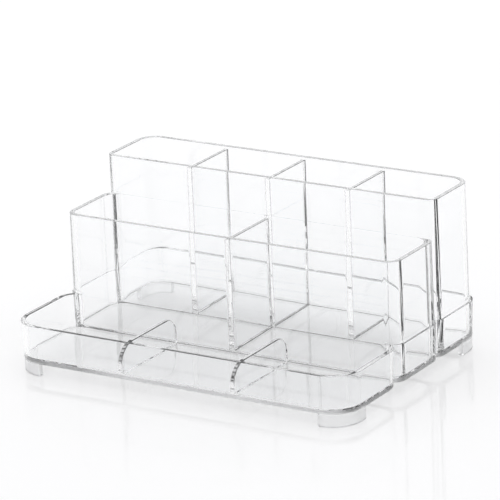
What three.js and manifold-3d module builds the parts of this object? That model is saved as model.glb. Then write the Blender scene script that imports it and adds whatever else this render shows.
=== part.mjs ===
// Clear desk organizer: a low front tray, a middle tier and a tall rear tier, each a tub with
// round corners, standing one behind the other on one floor with four corner feet.
// Millimetres, +Z up, front towards -Y. The origin is on the resting surface, under the
// middle of the bounding box.

import * as THREE from 'three';
import { mergeVertices } from 'three/addons/utils/BufferGeometryUtils.js';
import Module from 'manifold-3d';

// Overall size
const WIDTH = 185;
const DEPTH = 128;
const FRONT_Y = -DEPTH / 2;
const REAR_Y = DEPTH / 2;

// Levels above the resting surface
const FOOT_TOP = 6.2;
const FLOOR_TOP = 8.5;
const LOW_RIM = 25;
const MIDDLE_RIM = 65;
const REAR_RIM = 84;
const DIVIDER_BELOW_RIM = 1.3;

// Walls
const WALL = 2.5;
const DIVIDER = 2.4;
const SIDE_LEDGE = 1; // the upper walls stand this far inside the lower ones
const REAR_LEDGE = 3.3;
const LOWER_HALF = WIDTH / 2;
const UPPER_HALF = LOWER_HALF - SIDE_LEDGE;
const INNER_HALF = UPPER_HALF - WALL;
const MIDDLE_FRONT_Y = -14.8;
const REAR_FRONT_Y = 22.8;
const MIDDLE_OVERLAP = 2; // the middle tier's outline runs this far into the rear tier
const UPPER_REAR_Y = REAR_Y - REAR_LEDGE;
const INNER_REAR_Y = UPPER_REAR_Y - WALL;

// Corner radii, outside
const TRAY_FRONT_RADIUS = 15;
const TRAY_REAR_RADIUS = 10;
const MIDDLE_FRONT_RADIUS = 7;
const MIDDLE_REAR_RADIUS = 7;
const REAR_FRONT_RADIUS = 5;
const REAR_BACK_RADIUS = 10;
// Corner radii, inside, where they differ from the outside less the wall
const MIDDLE_REAR_INNER_RADIUS = 8;
const REAR_FRONT_INNER_RADIUS = 1.7;

// Floor edge, dividers and feet
const EDGE_ROUND = 1;
const REAR_DIVIDER_PITCH = 44;
const FRONT_DIVIDER_X = WIDTH / 6;
const FRONT_DIVIDER_TOP = 22;
const FRONT_DIVIDER_NOSE = 10;
const FRONT_DIVIDER_TAIL = 8;
const FOOT_INSET = 0.8;
const FOOT_WALL = 2.6;
// Straight runs of a foot past its corner arc
const FOOT_RUN_ACROSS = 0.8;
const FRONT_FOOT_RUN = 3.5;
const REAR_FOOT_RUN = 6.5;
const ARC_SEGMENTS = 8;

const wasm = await Module();
wasm.setup();

const organizer = new THREE.Group();
organizer.name = 'desk_organizer';

function clearPlastic() {
  return new THREE.MeshStandardMaterial({
    color: 0xeef3f5,
    roughness: 0.05,
    metalness: 0,
    transparent: true,
    opacity: 0.3,
  });
}

function addPart(name, geometry) {
  const mesh = new THREE.Mesh(geometry, clearPlastic());
  mesh.name = name;
  organizer.add(mesh);
}

// Booleans ----------------------------------------------------------------

function solid(geometry) {
  const bare = geometry.clone();
  bare.deleteAttribute('normal');
  bare.deleteAttribute('uv');
  const merged = mergeVertices(bare, 1e-5);
  return new wasm.Manifold(new wasm.Mesh({
    numProp: 3,
    vertProperties: new Float32Array(merged.attributes.position.array),
    triVerts: new Uint32Array(merged.index.array),
  }));
}

function geometryOf(manifold) {
  const mesh = manifold.getMesh();
  const geometry = new THREE.BufferGeometry();
  geometry.setAttribute('position', new THREE.BufferAttribute(mesh.vertProperties, 3));
  geometry.setIndex(new THREE.BufferAttribute(mesh.triVerts, 1));
  geometry.computeVertexNormals();
  return geometry;
}

function block(x0, x1, y0, y1, z0, z1) {
  const geometry = new THREE.BoxGeometry(x1 - x0, y1 - y0, z1 - z0);
  geometry.translate((x0 + x1) / 2, (y0 + y1) / 2, (z0 + z1) / 2);
  return geometry;
}

// Plan outlines -----------------------------------------------------------

// A rectangle with round corners: one radius at the front, another at the rear.
function roundedOutline(target, half, y0, y1, frontRadius, rearRadius) {
  target.moveTo(-half + frontRadius, y0);
  target.absarc(half - frontRadius, y0 + frontRadius, frontRadius, -Math.PI / 2, 0, false);
  target.absarc(half - rearRadius, y1 - rearRadius, rearRadius, 0, Math.PI / 2, false);
  target.absarc(-half + rearRadius, y1 - rearRadius, rearRadius, Math.PI / 2, Math.PI, false);
  target.absarc(-half + frontRadius, y0 + frontRadius, frontRadius, Math.PI, 1.5 * Math.PI, false);
  target.closePath();
  return target;
}

function extrude(shape, z0, z1) {
  const geometry = new THREE.ExtrudeGeometry(shape, {
    depth: z1 - z0,
    bevelEnabled: false,
    curveSegments: ARC_SEGMENTS,
  });
  geometry.translate(0, 0, z0);
  return geometry;
}

// One tier: its outer plan, and the clear space inside its walls.
const TRAY = {
  outer: [LOWER_HALF, FRONT_Y, MIDDLE_FRONT_Y + WALL, TRAY_FRONT_RADIUS, TRAY_REAR_RADIUS],
  inner: [LOWER_HALF - WALL, FRONT_Y + WALL, MIDDLE_FRONT_Y,
    TRAY_FRONT_RADIUS - WALL, TRAY_REAR_RADIUS - WALL],
};

function middleOutline(half) {
  const ledge = half - UPPER_HALF;
  return [half, MIDDLE_FRONT_Y, REAR_FRONT_Y + MIDDLE_OVERLAP + ledge,
    MIDDLE_FRONT_RADIUS, MIDDLE_REAR_RADIUS + ledge];
}

const MIDDLE_INNER = [INNER_HALF, MIDDLE_FRONT_Y + WALL, REAR_FRONT_Y,
  MIDDLE_FRONT_RADIUS - WALL, MIDDLE_REAR_INNER_RADIUS];

function rearOutline(half, rearY) {
  const backRadius = REAR_BACK_RADIUS + (half - UPPER_HALF);
  return [half, REAR_FRONT_Y, rearY, REAR_FRONT_RADIUS, backRadius];
}

const REAR_INNER = [INNER_HALF, REAR_FRONT_Y + WALL, INNER_REAR_Y,
  REAR_FRONT_INNER_RADIUS, REAR_BACK_RADIUS - WALL];

function column(outline, z0, z1) {
  return solid(extrude(roundedOutline(new THREE.Shape(), ...outline), z0, z1));
}

function ring(outer, inner, z0, z1) {
  const shape = roundedOutline(new THREE.Shape(), ...outer);
  shape.holes.push(roundedOutline(new THREE.Path(), ...inner));
  return solid(extrude(shape, z0, z1));
}

// Floor -------------------------------------------------------------------

// A tier's share of the floor, with its lower edge rounded.
function floorOfTier(outline) {
  const depth = FLOOR_TOP - FOOT_TOP;
  const geometry = new THREE.ExtrudeGeometry(roundedOutline(new THREE.Shape(), ...outline), {
    depth,
    bevelEnabled: true,
    bevelThickness: EDGE_ROUND,
    bevelSize: EDGE_ROUND,
    bevelOffset: -EDGE_ROUND,
    bevelSegments: 3,
    curveSegments: ARC_SEGMENTS,
  });
  geometry.translate(0, 0, FOOT_TOP + EDGE_ROUND);
  const reach = WIDTH;
  const above = solid(block(-reach, reach, -reach, reach, FLOOR_TOP, FLOOR_TOP + 2 * EDGE_ROUND));
  return solid(geometry).subtract(above);
}

function floorPlate() {
  const core = INNER_HALF - TRAY_REAR_RADIUS;
  const keel = block(-core, core, MIDDLE_FRONT_Y - TRAY_REAR_RADIUS,
    REAR_FRONT_Y + TRAY_REAR_RADIUS, FOOT_TOP, FLOOR_TOP);
  return floorOfTier(TRAY.outer)
    .add(floorOfTier(middleOutline(LOWER_HALF)))
    .add(floorOfTier(rearOutline(LOWER_HALF, REAR_Y)))
    .add(solid(keel));
}

addPart('floor_plate', geometryOf(floorPlate()));

// Low wall round the whole organizer ---------------------------------------

const middlePlan = column(middleOutline(LOWER_HALF), 0, REAR_RIM);
const rearPlanLower = column(rearOutline(LOWER_HALF, REAR_Y), 0, REAR_RIM);
const rearPlanUpper = column(rearOutline(UPPER_HALF, UPPER_REAR_Y), 0, REAR_RIM);

addPart('front_tray_wall', geometryOf(
  ring(TRAY.outer, TRAY.inner, FLOOR_TOP, LOW_RIM).subtract(middlePlan)));

const PANEL_HALF = UPPER_HALF - MIDDLE_FRONT_RADIUS;
const REAR_PANEL_HALF = UPPER_HALF - REAR_FRONT_RADIUS;
const REAR_CORNER_X = INNER_HALF - MIDDLE_REAR_INNER_RADIUS;

// The left or right part of a middle-tier wall, between its front panel and the rear tier.
function middleSide(half, rearPlan, side, z0, z1) {
  const inward = (x, y0, y1) => solid(side < 0 ? block(-x, WIDTH, y0, y1, z0 - 1, z1 + 1)
    : block(-WIDTH, x, y0, y1, z0 - 1, z1 + 1));
  return ring(middleOutline(half), MIDDLE_INNER, z0, z1)
    .subtract(rearPlan)
    .subtract(inward(PANEL_HALF, -DEPTH, 0))
    .subtract(inward(REAR_CORNER_X, 0, DEPTH));
}

// The sides and back of the rear tier, without its front panel.
function rearSurround(outline, z0, z1) {
  const frontPanel = block(-REAR_PANEL_HALF, REAR_PANEL_HALF,
    REAR_FRONT_Y - 1, REAR_FRONT_Y + 2 * WALL, z0 - 1, z1 + 1);
  return ring(outline, REAR_INNER, z0, z1).subtract(solid(frontPanel));
}

for (const [name, side] of [['left', -1], ['right', 1]]) {
  addPart(`lower_side_wall_${name}`, geometryOf(
    middleSide(LOWER_HALF, rearPlanLower, side, FLOOR_TOP, LOW_RIM)));
}

addPart('lower_rear_wall', geometryOf(
  rearSurround(rearOutline(LOWER_HALF, REAR_Y), FLOOR_TOP, LOW_RIM)));

// Middle tier ---------------------------------------------------------------

addPart('middle_front_wall', block(-PANEL_HALF, PANEL_HALF,
  MIDDLE_FRONT_Y, MIDDLE_FRONT_Y + WALL, FLOOR_TOP, MIDDLE_RIM));

for (const [name, side] of [['left', -1], ['right', 1]]) {
  addPart(`middle_side_wall_${name}`, geometryOf(
    middleSide(UPPER_HALF, rearPlanUpper, side, LOW_RIM, MIDDLE_RIM)));
}

addPart('middle_divider', block(-DIVIDER / 2, DIVIDER / 2,
  MIDDLE_FRONT_Y + WALL, REAR_FRONT_Y, FLOOR_TOP, MIDDLE_RIM - DIVIDER_BELOW_RIM));

// Rear tier -----------------------------------------------------------------

addPart('rear_front_wall', block(-REAR_PANEL_HALF, REAR_PANEL_HALF,
  REAR_FRONT_Y, REAR_FRONT_Y + WALL, FLOOR_TOP, REAR_RIM));

addPart('rear_outer_wall', geometryOf(
  rearSurround(rearOutline(UPPER_HALF, UPPER_REAR_Y), LOW_RIM, REAR_RIM)));

['left', 'middle', 'right'].forEach((name, i) => {
  const x = (i - 1) * REAR_DIVIDER_PITCH;
  addPart(`rear_divider_${name}`, block(x - DIVIDER / 2, x + DIVIDER / 2,
    REAR_FRONT_Y + WALL, INNER_REAR_Y, FLOOR_TOP, REAR_RIM - DIVIDER_BELOW_RIM));
});

// Low dividers of the front tray ---------------------------------------------

// An upright plate across the tier: its profile is drawn in Y and Z and given its thickness in X.
function plateAcross(profile, x) {
  const geometry = new THREE.ExtrudeGeometry(profile, {
    depth: DIVIDER,
    bevelEnabled: false,
    curveSegments: ARC_SEGMENTS,
  });
  geometry.applyMatrix4(new THREE.Matrix4().set(
    0, 0, 1, x - DIVIDER / 2,
    1, 0, 0, 0,
    0, 1, 0, 0,
    0, 0, 0, 1,
  ));
  return geometry;
}

function frontDividerProfile() {
  const front = FRONT_Y + WALL;
  const back = MIDDLE_FRONT_Y;
  const profile = new THREE.Shape();
  profile.moveTo(front, FLOOR_TOP);
  profile.lineTo(back, FLOOR_TOP);
  profile.absarc(back - FRONT_DIVIDER_TAIL, FRONT_DIVIDER_TOP - FRONT_DIVIDER_TAIL,
    FRONT_DIVIDER_TAIL, 0, Math.PI / 2, false);
  profile.absarc(front + FRONT_DIVIDER_NOSE, FRONT_DIVIDER_TOP - FRONT_DIVIDER_NOSE,
    FRONT_DIVIDER_NOSE, Math.PI / 2, Math.PI, false);
  profile.closePath();
  return profile;
}

for (const [name, side] of [['left', -1], ['right', 1]]) {
  addPart(`front_divider_${name}`, plateAcross(frontDividerProfile(), side * FRONT_DIVIDER_X));
}

// Feet ------------------------------------------------------------------------

// A curved foot follows one corner of the floor: a quarter ring with a straight run at each end,
// sideRun along the organizer's side.
function foot(radius, sideRun, cornerX, cornerY, sideX, sideY) {
  const outer = radius - FOOT_INSET;
  const inner = outer - FOOT_WALL;
  const quarterTurns = { '1,1': 0, '-1,1': 1, '-1,-1': 2, '1,-1': 3 }[`${sideX},${sideY}`];
  const [runX, runY] = quarterTurns % 2 ? [sideRun, FOOT_RUN_ACROSS] : [FOOT_RUN_ACROSS, sideRun];
  const shape = new THREE.Shape();
  shape.moveTo(-runX, outer);
  shape.lineTo(-runX, inner);
  shape.absarc(0, 0, inner, Math.PI / 2, 0, true);
  shape.lineTo(inner, -runY);
  shape.lineTo(outer, -runY);
  shape.absarc(0, 0, outer, 0, Math.PI / 2, false);
  shape.closePath();
  const geometry = extrude(shape, 0, FOOT_TOP);
  geometry.rotateZ(quarterTurns * Math.PI / 2);
  geometry.translate(sideX * (cornerX - radius), sideY * (cornerY - radius), 0);
  return geometry;
}

const REAR_LOWER_RADIUS = REAR_BACK_RADIUS + SIDE_LEDGE;

for (const [name, side] of [['left', -1], ['right', 1]]) {
  addPart(`foot_front_${name}`, foot(
    TRAY_FRONT_RADIUS, FRONT_FOOT_RUN, LOWER_HALF, -FRONT_Y, side, -1));
  addPart(`foot_rear_${name}`, foot(
    REAR_LOWER_RADIUS, REAR_FOOT_RUN, LOWER_HALF, REAR_Y, side, 1));
}

export default organizer;
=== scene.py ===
import math

import bmesh
import bpy
from mathutils import Matrix, Vector


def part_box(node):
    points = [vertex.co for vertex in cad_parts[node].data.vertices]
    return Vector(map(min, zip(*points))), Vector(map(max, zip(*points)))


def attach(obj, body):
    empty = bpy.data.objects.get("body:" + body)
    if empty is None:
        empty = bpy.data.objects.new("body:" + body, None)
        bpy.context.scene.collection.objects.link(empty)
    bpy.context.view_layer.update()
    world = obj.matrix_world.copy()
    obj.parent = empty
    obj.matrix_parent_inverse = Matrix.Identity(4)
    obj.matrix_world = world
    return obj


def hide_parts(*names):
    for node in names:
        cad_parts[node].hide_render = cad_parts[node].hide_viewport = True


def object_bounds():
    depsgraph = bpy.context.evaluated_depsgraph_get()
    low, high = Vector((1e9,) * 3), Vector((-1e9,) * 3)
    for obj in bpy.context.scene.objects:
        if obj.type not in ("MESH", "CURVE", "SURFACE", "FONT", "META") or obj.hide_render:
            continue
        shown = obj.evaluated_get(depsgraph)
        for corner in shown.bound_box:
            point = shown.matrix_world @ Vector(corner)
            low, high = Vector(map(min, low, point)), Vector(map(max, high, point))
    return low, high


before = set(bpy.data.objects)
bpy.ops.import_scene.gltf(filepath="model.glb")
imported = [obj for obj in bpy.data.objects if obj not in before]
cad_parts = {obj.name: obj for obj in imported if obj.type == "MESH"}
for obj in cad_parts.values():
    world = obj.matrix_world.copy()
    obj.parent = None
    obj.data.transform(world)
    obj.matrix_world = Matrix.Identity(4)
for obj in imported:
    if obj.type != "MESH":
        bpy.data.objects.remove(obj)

CAD_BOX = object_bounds()

# ---------------------------------------------------------------- sizes, in millimetres
MM = 0.001


def box_mm(node):
    low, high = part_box(node)
    return low / MM, high / MM


FLOOR_LOW, FLOOR_HIGH = box_mm("floor_plate")
PANEL_LOW, PANEL_HIGH = box_mm("middle_front_wall")
REAR_HIGH = box_mm("rear_outer_wall")[1]
REAR_DIVIDER_LOW, REAR_DIVIDER_HIGH = box_mm("rear_divider_right")
FIN_LOW, FIN_HIGH = box_mm("front_divider_right")

# Across
HALF = FLOOR_HIGH.x
UPPER_HALF = REAR_HIGH.x
DIVIDER = REAR_DIVIDER_HIGH.x - REAR_DIVIDER_LOW.x
REAR_DIVIDER_X = (REAR_DIVIDER_LOW.x + REAR_DIVIDER_HIGH.x) / 2
FIN_X = (FIN_LOW.x + FIN_HIGH.x) / 2
WALL = PANEL_HIGH.y - PANEL_LOW.y
LEDGE = 1  # the lower walls stand this far outside the upper ones
INNER = UPPER_HALF - WALL

# Front to back
FRONT = FLOOR_LOW.y
BACK = FLOOR_HIGH.y
UPPER_BACK = REAR_HIGH.y
INNER_BACK = UPPER_BACK - WALL
MIDDLE = PANEL_LOW.y
REAR = box_mm("rear_front_wall")[0].y
MIDDLE_OVERLAP = 2  # the middle tier runs this far into the rear tier
MIDDLE_TOP_GAP = 0.4  # the space over the middle divider stops this short of the rear tier

# Levels
FOOT_TOP = FLOOR_LOW.z
FLOOR_TOP = FLOOR_HIGH.z
LOW_RIM = box_mm("front_tray_wall")[1].z
MIDDLE_RIM = PANEL_HIGH.z
REAR_RIM = REAR_HIGH.z
MIDDLE_DIVIDER_TOP = box_mm("middle_divider")[1].z
REAR_DIVIDER_TOP = REAR_DIVIDER_HIGH.z
FIN_TOP = FIN_HIGH.z

# Corner radii in plan
TRAY_FRONT_RADIUS = 15
TRAY_REAR_RADIUS = 10
MIDDLE_FRONT_RADIUS = 7
MIDDLE_REAR_RADIUS = 7
MIDDLE_REAR_INNER = 8
REAR_FRONT_RADIUS = 5
REAR_FRONT_INNER = 1.7
REAR_BACK_RADIUS = 10
SHARP_RADIUS = 0.05

# Lean of the walls, and small roundings
LOW_LEAN = 0.7
DRAFT = 0.3
EDGE_ROUND = 0.6
RIM_ROUND = 0.2
LEDGE_ROUND = 0.2
FILLET = 0.4
CORNER_FILLET = 0.8
DIVIDER_ROUND = 0.25
DIVIDER_THINNING = 0.15  # a divider's top is this much thinner on each side

# Fins, the low dividers of the front tray
FIN_NOSE = 10
FIN_TAIL = 8
FIN_ROUND = 0.45
FIN_THINNING = 0.1

# Feet, arcs with a straight run at each end
FOOT_INSET = 0.8
FOOT_WALL = 2.6
FOOT_RUN_ACROSS = 0.8
FRONT_FOOT_RUN = 3.5
REAR_FOOT_RUN = 6.5
FOOT_ROUND = 0.6

# How finely curves are stepped, in segments to a quarter turn
CORNER_STEPS = 24
ROUND_STEPS = 5
FILLET_STEPS = 8
FIN_STEPS = 12

# How far shapes that are joined or cut reach into or past each other
OVERLAP = 1
CLEARANCE = 6
MARGIN = 0.01

# Where the moulding is divided
FAR = 120  # past every outer face
CUT = 0.05  # cuts lie this far off the levels, so that none lies in a face
BESIDE = 1.4  # and this far beside a plate, so that the plate keeps its fillets
TRAY_SEAM = 0.7  # the tray's wall ends this far behind the middle tier's front
REAR_SEAM = 0.9  # the middle tier's sides end this far before the rear tier's front
SIDE_START = 60  # their regions begin well inside the front panels
CORNER_REACH = 5  # and above the low rim they take in the rounded front corners
NOTCH_IN = 2.4  # they leave the rear tier its front corners
NOTCH_BACK = 0.75
SLIVER_VERTICES = 8

# Shading of the pieces
SMOOTH_ANGLE = math.radians(28)
NORMAL_WEIGHT = 60


# ---------------------------------------------------------------- mesh helpers
def quarter(steps=ROUND_STEPS):
    """The angles of a quarter turn."""
    return [math.pi / 2 * i / steps for i in range(steps + 1)]


def plan(x0, x1, y0, y1, radii, z):
    """A rounded rectangle; radii are front right, rear right, rear left, front left."""
    points = []
    corners = ((x1, y0, -1, 1), (x1, y1, -1, -1), (x0, y1, 1, -1), (x0, y0, 1, 1))
    for turn, ((cx, cy, sx, sy), radius) in enumerate(zip(corners, radii)):
        radius = max(radius, SHARP_RADIUS)
        for i in range(CORNER_STEPS + 1):
            angle = math.pi / 2 * (turn - 1 + i / CORNER_STEPS)
            points.append((cx + sx * radius + radius * math.cos(angle),
                           cy + sy * radius + radius * math.sin(angle), z))
    return points


def make_object(name, vertices, faces, material):
    mesh = bpy.data.meshes.new(name)
    mesh.from_pydata(vertices, [], faces)
    mesh.materials.append(material)
    mesh.update()
    thing = bpy.data.objects.new(name, mesh)
    bpy.context.scene.collection.objects.link(thing)
    return thing


def loft(name, rings, material):
    """A closed solid through rings with the same number of points, lowest first."""
    count = len(rings[0])
    vertices = [point for ring in rings for point in ring]
    faces = [list(reversed(range(count)))]
    for level in range(len(rings) - 1):
        a = level * count
        b = a + count
        for i in range(count):
            j = (i + 1) % count
            faces.append([a + i, a + j, b + j, b + i])
    faces.append([a + count + i for i in range(count)])
    return make_object(name, vertices, faces, material)


def prism(name, outline, z0, z1, material):
    return loft(name, [[(x, y, z) for x, y in outline] for z in (z0, z1)], material)


def boolean(base, tool, operation):
    modifier = base.modifiers.new("boolean", "BOOLEAN")
    modifier.operation = operation
    modifier.solver = "MANIFOLD"
    modifier.material_mode = "TRANSFER"
    modifier.object = tool
    graph = bpy.context.evaluated_depsgraph_get()
    mesh = bpy.data.meshes.new_from_object(base.evaluated_get(graph))
    base.modifiers.clear()
    old = base.data
    base.data = mesh
    bpy.data.meshes.remove(old)


def discard(thing):
    mesh = thing.data
    bpy.data.objects.remove(thing)
    bpy.data.meshes.remove(mesh)


def merge(base, tool, operation):
    boolean(base, tool, operation)
    discard(tool)


# ---------------------------------------------------------------- materials
BASE_COLOR = (0.99, 0.993, 0.995, 1)
PLASTIC_IOR = 1.58
WAVE_SCALE = 35
WAVE_DETAIL = 1
WAVE_STRENGTH = 0.25
WAVE_DISTANCE = 0.0004
HAZE_SCALE = 90
HAZE_DETAIL = 4
HAZE_FROM = 0.35
HAZE_TO = 0.75
HAZE_ROUGHNESS = 0.02
EDGE_MATT = 0.5
FOOT_MATT = 0.28

# Roughness added at each height: satin feet, and a matt edge round the floor
MATT_BY_HEIGHT = (
    (0, FOOT_MATT),
    (FOOT_TOP - 0.2, FOOT_MATT),
    (FOOT_TOP - 0.03, 0),
    (FOOT_TOP + 0.03, 0),
    (FOOT_TOP + 0.2, EDGE_MATT),
    (FLOOR_TOP - 0.08, EDGE_MATT),
    (FLOOR_TOP - 0.02, 0),
)


def node_material(name, values):
    """A material with the sockets in values set on its Principled shader."""
    material = bpy.data.materials.new(name)
    material.use_nodes = True
    tree = material.node_tree
    shader = tree.nodes["Principled BSDF"]
    for socket, value in values.items():
        shader.inputs[socket].default_value = value
    return material, tree, shader


def add_node(tree, kind, **values):
    """A new shader node; an underscore in a value's name stands for a space."""
    node = tree.nodes.new("ShaderNode" + kind)
    for socket, value in values.items():
        node.inputs[socket.replace("_", " ")].default_value = value
    return node


def add_ramp(tree, stops):
    """A colour ramp through stops, which are (position, red, green, blue)."""
    ramp = add_node(tree, "ValToRGB")
    while len(ramp.color_ramp.elements) < len(stops):
        ramp.color_ramp.elements.new(0.5)
    for element, (position, *color) in zip(ramp.color_ramp.elements, stops):
        element.position = position
        element.color = (*color, 1)
    return ramp


def clear_plastic():
    """Polished clear plastic with a slight long wave, wiping haze, and matt bands low down."""
    material, tree, shader = node_material("clear_plastic_polished", {
        "Base Color": BASE_COLOR,
        "Transmission Weight": 1,
        "IOR": PLASTIC_IOR,
    })
    link = tree.links.new
    place = add_node(tree, "TexCoord").outputs["Object"]

    wave = add_node(tree, "TexNoise", Scale=WAVE_SCALE, Detail=WAVE_DETAIL)
    bump = add_node(tree, "Bump", Strength=WAVE_STRENGTH, Distance=WAVE_DISTANCE)
    link(place, wave.inputs["Vector"])
    link(wave.outputs["Fac"], bump.inputs["Height"])
    link(bump.outputs["Normal"], shader.inputs["Normal"])

    haze = add_node(tree, "TexNoise", Scale=HAZE_SCALE, Detail=HAZE_DETAIL)
    wipe = add_node(tree, "MapRange", From_Min=HAZE_FROM, From_Max=HAZE_TO,
                    To_Min=0, To_Max=HAZE_ROUGHNESS)
    link(place, haze.inputs["Vector"])
    link(haze.outputs["Fac"], wipe.inputs["Value"])

    split = add_node(tree, "SeparateXYZ")
    level = add_node(tree, "MapRange", From_Max=FLOOR_TOP * MM)
    matt = add_ramp(tree, [(height / FLOOR_TOP, value, value, value)
                           for height, value in MATT_BY_HEIGHT])
    link(place, split.inputs["Vector"])
    link(split.outputs["Z"], level.inputs["Value"])
    link(level.outputs["Result"], matt.inputs["Fac"])

    rough = add_node(tree, "Math")
    rough.operation = "ADD"
    link(wipe.outputs["Result"], rough.inputs[0])
    link(matt.outputs["Color"], rough.inputs[1])
    link(rough.outputs["Value"], shader.inputs["Roughness"])
    return material


CLEAR = clear_plastic()

# Where two pieces of the one moulding join, nothing is seen
JOINED = node_material("clear_plastic_joined", {"Alpha": 0})[0]


# ---------------------------------------------------------------- the outside of the tiers
def tier(name, low, up, top):
    """low(grow, z) and up(grow, z, draft) are its plans; up is None for the tray."""
    rings = []
    for angle in quarter():
        grow = -LOW_LEAN - EDGE_ROUND * (1 - math.sin(angle))
        rings.append(low(grow, FOOT_TOP + EDGE_ROUND * (1 - math.cos(angle))))
    edge = RIM_ROUND if up is None else LEDGE_ROUND
    for angle in quarter():
        rings.append(low(-edge * (1 - math.cos(angle)), LOW_RIM - edge * (1 - math.sin(angle))))
    if up is not None:
        for angle in quarter():
            rings.append(up(LEDGE_ROUND * (1 - math.sin(angle)),
                            LOW_RIM + LEDGE_ROUND * (1 - math.cos(angle)), DRAFT))
        for angle in quarter():
            rings.append(up(-RIM_ROUND * (1 - math.cos(angle)),
                            top - RIM_ROUND * (1 - math.sin(angle)), 0))
    return loft(name, rings, CLEAR)


def tray_plan(grow, z):
    front = TRAY_FRONT_RADIUS + grow
    rear = TRAY_REAR_RADIUS
    return plan(-HALF - grow, HALF + grow, FRONT - grow, MIDDLE + WALL + min(grow, 0),
                (front, rear, rear, front), z)


def middle_low(grow, z):
    front = MIDDLE_FRONT_RADIUS
    rear = MIDDLE_REAR_RADIUS + LEDGE + grow
    return plan(-HALF - grow, HALF + grow, MIDDLE, REAR + MIDDLE_OVERLAP + LEDGE + grow,
                (front, rear, rear, front), z)


def middle_up(grow, z, draft):
    front = MIDDLE_FRONT_RADIUS + grow
    rear = MIDDLE_REAR_RADIUS + grow
    half = UPPER_HALF + draft + grow
    return plan(-half, half, MIDDLE + DRAFT - draft - grow, REAR + MIDDLE_OVERLAP + draft + grow,
                (front, rear, rear, front), z)


def rear_low(grow, z):
    front = REAR_FRONT_RADIUS + LEDGE
    rear = REAR_BACK_RADIUS + LEDGE + grow
    return plan(-HALF - grow, HALF + grow, REAR, BACK + grow, (front, rear, rear, front), z)


def rear_up(grow, z, draft):
    front = REAR_FRONT_RADIUS + grow
    rear = REAR_BACK_RADIUS + grow
    half = UPPER_HALF + draft + grow
    return plan(-half, half, REAR + DRAFT - draft - grow, UPPER_BACK + draft + grow,
                (front, rear, rear, front), z)


body = tier("body", tray_plan, None, LOW_RIM)
merge(body, tier("middle", middle_low, middle_up, MIDDLE_RIM), "UNION")
merge(body, tier("rear", rear_low, rear_up, REAR_RIM), "UNION")


# ---------------------------------------------------------------- the bins
def bin_tool(name, area, radii, top, flare, sides):
    """The hollow over area, (x0, x1, y0, y1); sides says which of these flare at the top."""
    x0, x1, y0, y1 = area
    rings = []

    def ring(z, grows):
        gx0, gx1, gy0, gy1 = grows
        corner_grows = (max(gx1, gy0), max(gx1, gy1), max(gx0, gy1), max(gx0, gy0))
        grown = [radius + grow for radius, grow in zip(radii, corner_grows)]
        rings.append(plan(x0 - gx0, x1 + gx1, y0 - gy0, y1 + gy1, grown, z))

    for angle in quarter(FILLET_STEPS):
        grow = -DRAFT - FILLET * (1 - math.sin(angle))
        ring(FLOOR_TOP + FILLET * (1 - math.cos(angle)), [grow] * 4)
    for angle in quarter():
        open_by = flare * (1 - math.cos(angle))
        ring(top - flare * (1 - math.sin(angle)), [open_by * side for side in sides])
    ring(top + CLEARANCE, [flare * side for side in sides])
    return loft(name, rings, CLEAR)


def top_tool(name, y0, y1, radii, z0, z1):
    """The clear space over a tier's dividers, up to its rim."""
    levels = [(z0, MARGIN)]
    for angle in quarter():
        levels.append((z1 - RIM_ROUND * (1 - math.sin(angle)), RIM_ROUND * (1 - math.cos(angle))))
    levels.append((z1 + CLEARANCE, RIM_ROUND))
    rings = []
    for z, grow in levels:
        grow = max(grow, MARGIN)
        rings.append(plan(-INNER - grow, INNER + grow, y0 - grow, y1 + grow,
                          [radius + grow for radius in radii], z))
    return loft(name, rings, CLEAR)


def hollow_tier(name, divider_xs, y0, y1, top_y1, front_corner, rear_corner, divider_top, rim):
    """Takes a row of bins out of a tier, and the space over its dividers."""
    half_divider = DIVIDER / 2 - DIVIDER_THINNING
    starts = [-INNER] + [x + half_divider for x in divider_xs]
    ends = [x - half_divider for x in divider_xs] + [INNER]
    for i, (x0, x1) in enumerate(zip(starts, ends)):
        first = i == 0
        last = i == len(divider_xs)
        radii = (front_corner if last else CORNER_FILLET, rear_corner if last else CORNER_FILLET,
                 rear_corner if first else CORNER_FILLET, front_corner if first else CORNER_FILLET)
        merge(body, bin_tool(f"{name}_bin_{i}", (x0, x1, y0, y1), radii, divider_top,
                             DIVIDER_ROUND, (not first, not last, 0, 0)), "DIFFERENCE")
    merge(body, top_tool(f"{name}_top", y0, top_y1,
                         (front_corner, rear_corner, rear_corner, front_corner),
                         divider_top, rim), "DIFFERENCE")


tray_front = TRAY_FRONT_RADIUS - WALL
tray_rear = TRAY_REAR_RADIUS - WALL
merge(body, bin_tool("tray_bin", (WALL - HALF, HALF - WALL, FRONT + WALL, MIDDLE),
                     (tray_front, tray_rear, tray_rear, tray_front),
                     LOW_RIM, RIM_ROUND, (1, 1, 1, 0)), "DIFFERENCE")
hollow_tier("middle", (0,), MIDDLE + WALL, REAR, REAR - MIDDLE_TOP_GAP,
            MIDDLE_FRONT_RADIUS - WALL, MIDDLE_REAR_INNER, MIDDLE_DIVIDER_TOP, MIDDLE_RIM)
hollow_tier("rear", (-REAR_DIVIDER_X, 0, REAR_DIVIDER_X), REAR + WALL, INNER_BACK, INNER_BACK,
            REAR_FRONT_INNER, REAR_BACK_RADIUS - WALL, REAR_DIVIDER_TOP, REAR_RIM)


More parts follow.
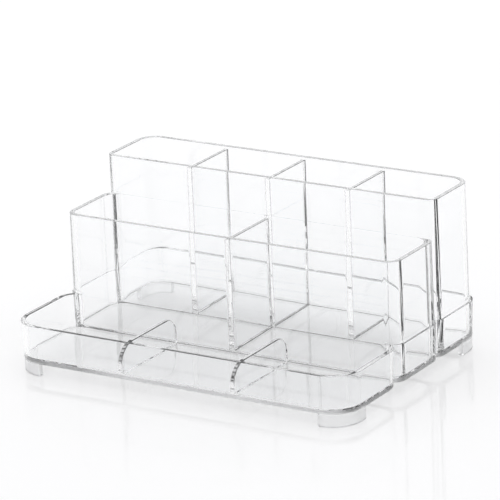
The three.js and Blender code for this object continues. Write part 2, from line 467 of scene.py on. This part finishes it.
# ---------------------------------------------------------------- fins of the front tray
def fin(x):
    """A plate at x with a round nose and tail and rounded edges."""
    front = FRONT + WALL - OVERLAP
    back = MIDDLE + OVERLAP
    foot_z = FLOOR_TOP - OVERLAP
    half = DIVIDER / 2 - FIN_THINNING

    def profile(inset, at):
        points = [(front, foot_z), (back, foot_z), (back, FIN_TOP - FIN_TAIL)]
        for angle in quarter(FIN_STEPS):
            points.append((MIDDLE - FIN_TAIL + (FIN_TAIL - inset) * math.cos(angle),
                           FIN_TOP - FIN_TAIL + (FIN_TAIL - inset) * math.sin(angle)))
        for angle in quarter(FIN_STEPS):
            points.append((FRONT + WALL + FIN_NOSE - (FIN_NOSE - inset) * math.sin(angle),
                           FIN_TOP - FIN_NOSE + (FIN_NOSE - inset) * math.cos(angle)))
        points.append((front, FIN_TOP - FIN_NOSE))
        return [(at, y, z) for y, z in points]

    edge = [(FIN_ROUND * (1 - math.sin(a)), half - FIN_ROUND * (1 - math.cos(a)))
            for a in quarter()]
    rings = [profile(inset, x - out) for inset, out in edge]
    rings += [profile(inset, x + out) for inset, out in reversed(edge)]
    return loft("fin", rings, CLEAR)


for side in (-1, 1):
    merge(body, fin(side * FIN_X), "UNION")


# ---------------------------------------------------------------- feet
FEET = {
    "foot_front_left": (-1, -1),
    "foot_front_right": (1, -1),
    "foot_rear_left": (-1, 1),
    "foot_rear_right": (1, 1),
}


def foot(name, sx, sy):
    """A foot under the corner that sx and sy point to, following the corner's arc."""
    rear = sy > 0
    radius = REAR_BACK_RADIUS + LEDGE if rear else TRAY_FRONT_RADIUS
    run_y = REAR_FOOT_RUN if rear else FRONT_FOOT_RUN
    cx = sx * (HALF - radius)
    cy = (BACK if rear else FRONT) - sy * radius
    outer = radius - FOOT_INSET
    inner = outer - FOOT_WALL

    def outline(inset, z):
        wide = outer - inset
        narrow = inner + inset
        points = [(inset - FOOT_RUN_ACROSS, wide), (inset - FOOT_RUN_ACROSS, narrow)]
        points += [(narrow * math.sin(a), narrow * math.cos(a)) for a in quarter(CORNER_STEPS)]
        points += [(narrow, inset - run_y), (wide, inset - run_y)]
        points += [(wide * math.cos(a), wide * math.sin(a)) for a in quarter(CORNER_STEPS)]
        points = [(cx + sx * x, cy + sy * y, z) for x, y in points]
        return points if sx == sy else points[::-1]

    rings = [outline(FOOT_ROUND * (1 - math.sin(a)), FOOT_ROUND * (1 - math.cos(a)))
             for a in quarter()]
    rings.append(outline(0, FOOT_TOP + OVERLAP))
    return loft(name + "_solid", rings, CLEAR)


for name, (sx, sy) in FEET.items():
    merge(body, foot(name, sx, sy), "UNION")


# ---------------------------------------------------------------- division into the named pieces
# The moulding is built whole and then cut, so that light passes through its joins as in one
# body. Each region takes what the ones before it have left.
def rectangle(x0, x1, y0, y1):
    return [(x0, y0), (x1, y0), (x1, y1), (x0, y1)]


def side_region(side, front):
    """A side of the middle tier, from front back to the rear tier."""
    outline = [(SIDE_START, front), (FAR, front), (FAR, REAR + NOTCH_BACK),
               (UPPER_HALF - NOTCH_IN, REAR + NOTCH_BACK),
               (REAR_PANEL_HALF, REAR - REAR_SEAM), (SIDE_START, REAR - REAR_SEAM)]
    return outline if side > 0 else [(-x, y) for x, y in reversed(outline)]


PANEL_HALF = UPPER_HALF - MIDDLE_FRONT_RADIUS
REAR_PANEL_HALF = UPPER_HALF - REAR_FRONT_RADIUS
EVERYWHERE = rectangle(-FAR, FAR, -FAR, FAR)
floor_cut = FLOOR_TOP + CUT
rim_cut = LOW_RIM + CUT
tray_cut = MIDDLE + TRAY_SEAM
beside_divider = DIVIDER / 2 + BESIDE

regions = [(name, rectangle(min(0, sx * FAR), max(0, sx * FAR), min(0, sy * FAR), max(0, sy * FAR)),
            -OVERLAP, FOOT_TOP - CUT) for name, (sx, sy) in FEET.items()]
regions.append(("floor_plate", EVERYWHERE, 0, floor_cut))
for name, x in (("left", -FIN_X), ("right", FIN_X)):
    regions.append(("front_divider_" + name,
                    rectangle(x - beside_divider, x + beside_divider,
                              FRONT + WALL + BESIDE, MIDDLE - BESIDE), 0, FAR))
regions.append(("middle_front_wall",
                rectangle(-PANEL_HALF, PANEL_HALF, MIDDLE - BESIDE, MIDDLE + WALL + BESIDE),
                0, FAR))
regions.append(("rear_front_wall",
                rectangle(-REAR_PANEL_HALF, REAR_PANEL_HALF, REAR - BESIDE, REAR + WALL + BESIDE),
                0, FAR))
regions.append(("middle_divider",
                rectangle(-beside_divider, beside_divider, MIDDLE, REAR), 0, FAR))
for name, x in (("left", -REAR_DIVIDER_X), ("middle", 0), ("right", REAR_DIVIDER_X)):
    regions.append(("rear_divider_" + name,
                    rectangle(x - beside_divider, x + beside_divider,
                              REAR, INNER_BACK - BESIDE), 0, FAR))
regions.append(("front_tray_wall", rectangle(-FAR, FAR, -FAR, tray_cut), 0, rim_cut))
for name, side in (("right", 1), ("left", -1)):
    regions.append(("lower_side_wall_" + name, side_region(side, tray_cut), 0, rim_cut))
    regions.append(("middle_side_wall_" + name, side_region(side, tray_cut - CORNER_REACH),
                    LOW_RIM - OVERLAP, MIDDLE_RIM + OVERLAP))
regions.append(("lower_rear_wall", EVERYWHERE, 0, rim_cut))
regions.append(("rear_outer_wall", EVERYWHERE, 0, FAR))


def drop_slivers(mesh):
    """Two cuts along one plane can leave a sliver with no volume, which is taken out."""
    work = bmesh.new()
    work.from_mesh(mesh)
    waiting = set(work.verts)
    while waiting:
        island = {waiting.pop()}
        reached = list(island)
        while reached:
            vertex = reached.pop()
            for edge in vertex.link_edges:
                other = edge.other_vert(vertex)
                if other not in island:
                    island.add(other)
                    reached.append(other)
        waiting -= island
        if len(island) < SLIVER_VERTICES:
            for vertex in island:
                work.verts.remove(vertex)
    work.to_mesh(mesh)
    work.free()


def finish_piece(piece, name):
    mesh = piece.data
    drop_slivers(mesh)
    mesh.transform(Matrix.Scale(MM, 4))
    mesh.polygons.foreach_set("use_smooth", [True] * len(mesh.polygons))
    mesh.set_sharp_from_angle(angle=SMOOTH_ANGLE)
    weigh = piece.modifiers.new("weigh", "WEIGHTED_NORMAL")
    weigh.keep_sharp = True
    weigh.weight = NORMAL_WEIGHT
    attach(piece, "root")
    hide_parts(name)


for name, outline, z0, z1 in regions:
    region = prism("region", outline, z0, z1, JOINED)
    piece = bpy.data.objects.new("clear_" + name, body.data.copy())
    bpy.context.scene.collection.objects.link(piece)
    boolean(piece, region, "INTERSECT")
    boolean(body, region, "DIFFERENCE")
    discard(region)
    finish_piece(piece, name)
discard(body)

# ---------------------------------------------------------------- stage, in metres
GROUND_HALF = 12
PALE_FLOOR = node_material("pale_floor", {
    "Base Color": (0.9, 0.9, 0.905, 1),
    "Roughness": 0.06,
    "Emission Color": (1, 1, 1, 1),
    "Emission Strength": 0.43,
})[0]
GROUND_CORNERS = rectangle(-GROUND_HALF, GROUND_HALF, -GROUND_HALF, GROUND_HALF)
ground = make_object("ground", [(x, y, 0) for x, y in GROUND_CORNERS], [[0, 1, 2, 3]], PALE_FLOOR)

# The sky's light as (height, light) stops, beyond the organizer and on the camera's side
BACK_LIGHT = ((0, 0.87), (0.35, 0.85), (0.6, 0.3), (0.85, 0.72), (1, 0.8))
FRONT_LIGHT = ((0, 0.9), (0.35, 0.8), (0.6, 0.06), (0.85, 0.66), (1, 0.8))
SKY_BLUE = 1.01
SKY_STRENGTH = 1
TOWARDS_BACK = (-0.4, 0.92, 0)
BLEND_FROM = -0.3
BLEND_TO = 0.5
# The mix node's colour sockets
FACTOR, FIRST, SECOND, RESULT = 0, 6, 7, 2

world = bpy.data.worlds.new("studio")
bpy.context.scene.world = world
world.use_nodes = True
sky = world.node_tree
direction = add_node(sky, "TexCoord").outputs["Generated"]
split = add_node(sky, "SeparateXYZ")
sky.links.new(direction, split.inputs["Vector"])


def sky_light(stops):
    ramp = add_ramp(sky, [(height, light, light, light * SKY_BLUE) for height, light in stops])
    sky.links.new(split.outputs["Z"], ramp.inputs["Fac"])
    return ramp.outputs["Color"]


towards = add_node(sky, "VectorMath")
towards.operation = "DOT_PRODUCT"
towards.inputs[1].default_value = TOWARDS_BACK
sky.links.new(direction, towards.inputs[0])
share = add_node(sky, "MapRange", From_Min=BLEND_FROM, From_Max=BLEND_TO)
share.interpolation_type = "SMOOTHSTEP"
sky.links.new(towards.outputs["Value"], share.inputs["Value"])
blend = add_node(sky, "Mix")
blend.data_type = "RGBA"
sky.links.new(share.outputs["Result"], blend.inputs[FACTOR])
sky.links.new(sky_light(FRONT_LIGHT), blend.inputs[FIRST])
sky.links.new(sky_light(BACK_LIGHT), blend.inputs[SECOND])
background = sky.nodes["Background"]
background.inputs["Strength"].default_value = SKY_STRENGTH
sky.links.new(blend.outputs[RESULT], background.inputs["Color"])

# ---------------------------------------------------------------- camera
AZIMUTH = math.radians(32.5251)
ELEVATION = math.radians(18.4066)
ROLL = math.radians(-2.6546)
DISTANCE = 1.818905
AIM_HEIGHT = 0.04
AIM_RIGHT = 0.002917
AIM_UP = 0.013845
SENSOR_MM = 36
LENS_MM = 276.65
CLIP_END = 50

forward = Vector((-math.sin(AZIMUTH) * math.cos(ELEVATION),
                  math.cos(AZIMUTH) * math.cos(ELEVATION), -math.sin(ELEVATION)))
level = Vector((math.cos(AZIMUTH), math.sin(AZIMUTH), 0))
upright = level.cross(forward)
right = level * math.cos(ROLL) + upright * math.sin(ROLL)
up = upright * math.cos(ROLL) - level * math.sin(ROLL)
centre = (Vector(CAD_BOX[0]) + Vector(CAD_BOX[1])) / 2
aim = Vector((centre.x, centre.y, CAD_BOX[0][2] + AIM_HEIGHT)) + right * AIM_RIGHT + up * AIM_UP
turned = Matrix((right, up, -forward)).transposed().to_4x4()

lens = bpy.data.cameras.new("camera")
lens.sensor_width = SENSOR_MM
lens.lens = LENS_MM
lens.clip_end = CLIP_END
camera = bpy.data.objects.new("camera", lens)
bpy.context.scene.collection.objects.link(camera)
camera.matrix_world = Matrix.Translation(aim - forward * DISTANCE) @ turned
bpy.context.scene.camera = camera

# ---------------------------------------------------------------- light paths
# Long paths through the clear walls; the limit on glossy ones darkens the posts and rims
LONGEST_PATH = 64
REFLECTIONS_INSIDE = 19
JOINS_CROSSED = 200

scene = bpy.context.scene
scene.view_settings.view_transform = "Standard"
scene.cycles.max_bounces = LONGEST_PATH
scene.cycles.transmission_bounces = LONGEST_PATH
scene.cycles.glossy_bounces = REFLECTIONS_INSIDE
scene.cycles.transparent_max_bounces = JOINS_CROSSED
